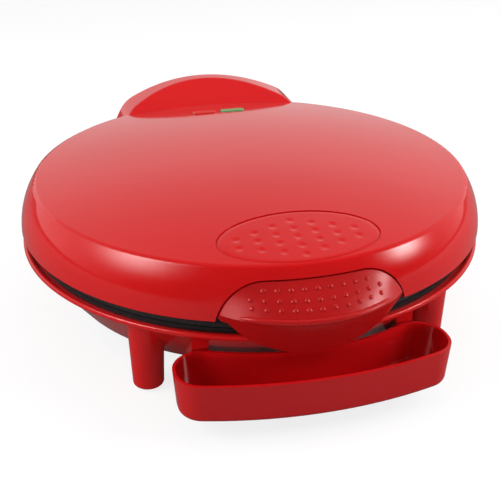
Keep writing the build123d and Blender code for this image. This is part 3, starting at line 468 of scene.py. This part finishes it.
# the grip dots on the latch: one small dome, copied onto the handle's skin
gripDots = {
    "radius": 1.55,
    "height": 1.05,
    "sunk": 0.3,
    "sides": 14,
    "rings": ((0.55, 0.90), (0.30, 0.66), (0.15, 0.40)),  # share of the height, and how far each ring draws in
    "pitch": 7.4,
    "rows": {79.5: 4, 75.5: 5, 71.9: 5},  # height above the table: dots to each side of the middle one
    "lookFrom": 250.0,
}


def buildDome(setup):
    bpy.ops.mesh.primitive_circle_add(vertices=setup["sides"], radius=setup["radius"] * mm, fill_type="NGON")
    dome = startPiece("gripDot")
    bpy.ops.object.mode_set(mode="EDIT")
    bpy.ops.mesh.select_all(action="SELECT")
    for share, shrink in setup["rings"]:
        lift = (0, 0, share * setup["height"] * mm)
        bpy.ops.mesh.extrude_region_move(TRANSFORM_OT_translate={"value": lift})
        bpy.ops.transform.resize(value=(shrink, shrink, 1))
    bpy.ops.object.mode_set(mode="OBJECT")
    return dome


def buildGripDots(setup):
    skin = surfaceOf("latch_handle")
    dome = buildDome(setup)
    dots = []
    for height, count in setup["rows"].items():
        for step in range(-count, count + 1):
            start = Vector((step * setup["pitch"] * mm, bodyY - setup["lookFrom"] * mm, height * mm))
            place, normal, _, _ = skin.ray_cast(start, Vector((0, 1, 0)))
            turn = normal.to_track_quat("Z", "Y").to_matrix().to_4x4()
            dot = dome.copy()
            dot.data = dome.data.copy()
            dot.data.transform(Matrix.Translation(place - normal * setup["sunk"] * mm) @ turn)
            bpy.context.collection.objects.link(dot)
            dots.append(dot)
    bpy.data.objects.remove(dome)
    selectPieces(dots)
    bpy.ops.object.join()
    dots[0].name = dots[0].data.name = "gripDots"
    settlePiece(dots[0], "latch", "redLatchPaintedShade")
    return len(dots)


print("grip dots:", buildGripDots(gripDots))


# the rounded bead along the latch's lip
lipBead = {
    "radius": 1.9,
    "sides": 12,
    "steps": 48,
    "lipRadius": 72.8,      # of the bead's line, seen from above
    "front": 166.9,         # from the middle of the body to the bead's line
    "height": 66.9,
    "halfWidth": 43.5,
    "endSize": 0.35,
    "endSlope": 5,          # how soon the ends swell to the full size
}


def buildLipBead(setup):
    lipRadius = setup["lipRadius"] * mm
    height = setup["height"] * mm
    axisY = bodyY - setup["front"] * mm + lipRadius
    half = math.asin(setup["halfWidth"] / setup["lipRadius"])

    def onLine(turn):
        return Vector((lipRadius * math.sin(turn), axisY - lipRadius * math.cos(turn), height))

    bpy.ops.mesh.primitive_circle_add(
        vertices=setup["sides"], radius=setup["radius"] * mm, fill_type="NGON",
        location=onLine(-half), rotation=(math.pi / 2, 0, math.pi / 2 - half))
    bead = startPiece("lipBead")
    bpy.ops.object.transform_apply(location=True, rotation=True, scale=True)
    bpy.ops.object.mode_set(mode="EDIT")
    bpy.ops.mesh.select_all(action="SELECT")
    bpy.ops.mesh.spin(steps=setup["steps"], angle=-2 * half, center=(0, axisY, 0), axis=(0, 0, 1))
    bpy.ops.object.mode_set(mode="OBJECT")
    for vertex in bead.data.vertices:  # the ends run out into the lip
        turn = math.atan2(vertex.co.x, axisY - vertex.co.y)
        size = min(1.0, setup["endSize"] + setup["endSlope"] * (half - abs(turn)) / half)
        vertex.co = onLine(turn) + (vertex.co - onLine(turn)) * size
    settlePiece(bead, "latch", "redLatchPaintedShade")


buildLipBead(lipBead)
print("lip bead made")


# the oval panel in the dome, with its soft dimples
ovalPanel = {
    "halfLength": 48.1,
    "halfWidth": 25.1,
    "y": -116.5,            # from the middle of the body
    "cells": (150, 84),
    "lift": 0.78,           # above the floor of the dome's recess
    "edge": 2.6,
    "sheet": 0.35,
    "lookInside": 0.997,    # keeps the rays off the recess's wall
    "lookFrom": 200.0,
}
dimples = {
    "x": -1.2, "y": -1.3,   # middle of the pattern on the panel
    "pitchX": 23.4, "pitchY": 8.5,
    "radius": 3.2,
    "depth": 0.42,
    "spreadX": 47.5, "spreadY": 17.4, "endX": 40.0,  # the pattern is a diamond without its two end dots
}


def dimpleDepth(x, y, setup):
    x, y = x - setup["x"], y - setup["y"]
    pitchX, pitchY = setup["pitchX"], setup["pitchY"]
    deepest = 0.0
    for shiftX, shiftY in ((0, 0), (pitchX / 2, pitchY / 2)):
        nearX = round((x - shiftX) / pitchX) * pitchX + shiftX
        nearY = round((y - shiftY) / pitchY) * pitchY + shiftY
        if abs(nearX) > setup["endX"] or abs(nearX) / setup["spreadX"] + abs(nearY) / setup["spreadY"] > 1:
            continue
        away = math.hypot(x - nearX, y - nearY) / setup["radius"]
        if away < 1:
            deepest = max(deepest, setup["depth"] * (1 - away ** 2) ** 2)
    return deepest


def buildOvalPanel(setup, marks):
    skin = surfaceOf("lid_housing")
    halfLength, halfWidth = setup["halfLength"], setup["halfWidth"]
    middleY = bodyY + setup["y"] * mm
    cellsX, cellsY = setup["cells"]
    bpy.ops.mesh.primitive_grid_add(x_subdivisions=cellsX, y_subdivisions=cellsY, size=2)
    panel = startPiece("ovalPanel")
    for vertex in panel.data.vertices:  # the square grid becomes an oval, and takes the dome's height
        u, v = vertex.co.x, vertex.co.y
        x = halfLength * u * math.sqrt(1 - v * v / 2)
        y = halfWidth * v * math.sqrt(1 - u * u / 2)
        inside = setup["lookInside"] * mm
        start = Vector((x * inside, middleY + y * inside, setup["lookFrom"] * mm))
        place, _, _, _ = skin.ray_cast(start, Vector((0, 0, -1)))
        inward = halfWidth * (1 - math.hypot(x / halfLength, y / halfWidth))
        rounding = 1 - min(1.0, inward / setup["edge"])
        lift = setup["lift"] * math.sqrt(max(0.0, 1 - rounding ** 2)) - dimpleDepth(x, y, marks)
        vertex.co = Vector((x * mm, middleY + y * mm, place.z + lift * mm))
    selectPieces([panel])
    sheet = panel.modifiers.new("sheet", "SOLIDIFY")
    sheet.thickness = setup["sheet"] * mm
    sheet.offset = -1
    bpy.ops.object.modifier_apply(modifier=sheet.name)
    settlePiece(panel, "lid", "redBody")


buildOvalPanel(ovalPanel, dimples)
print("oval panel made")
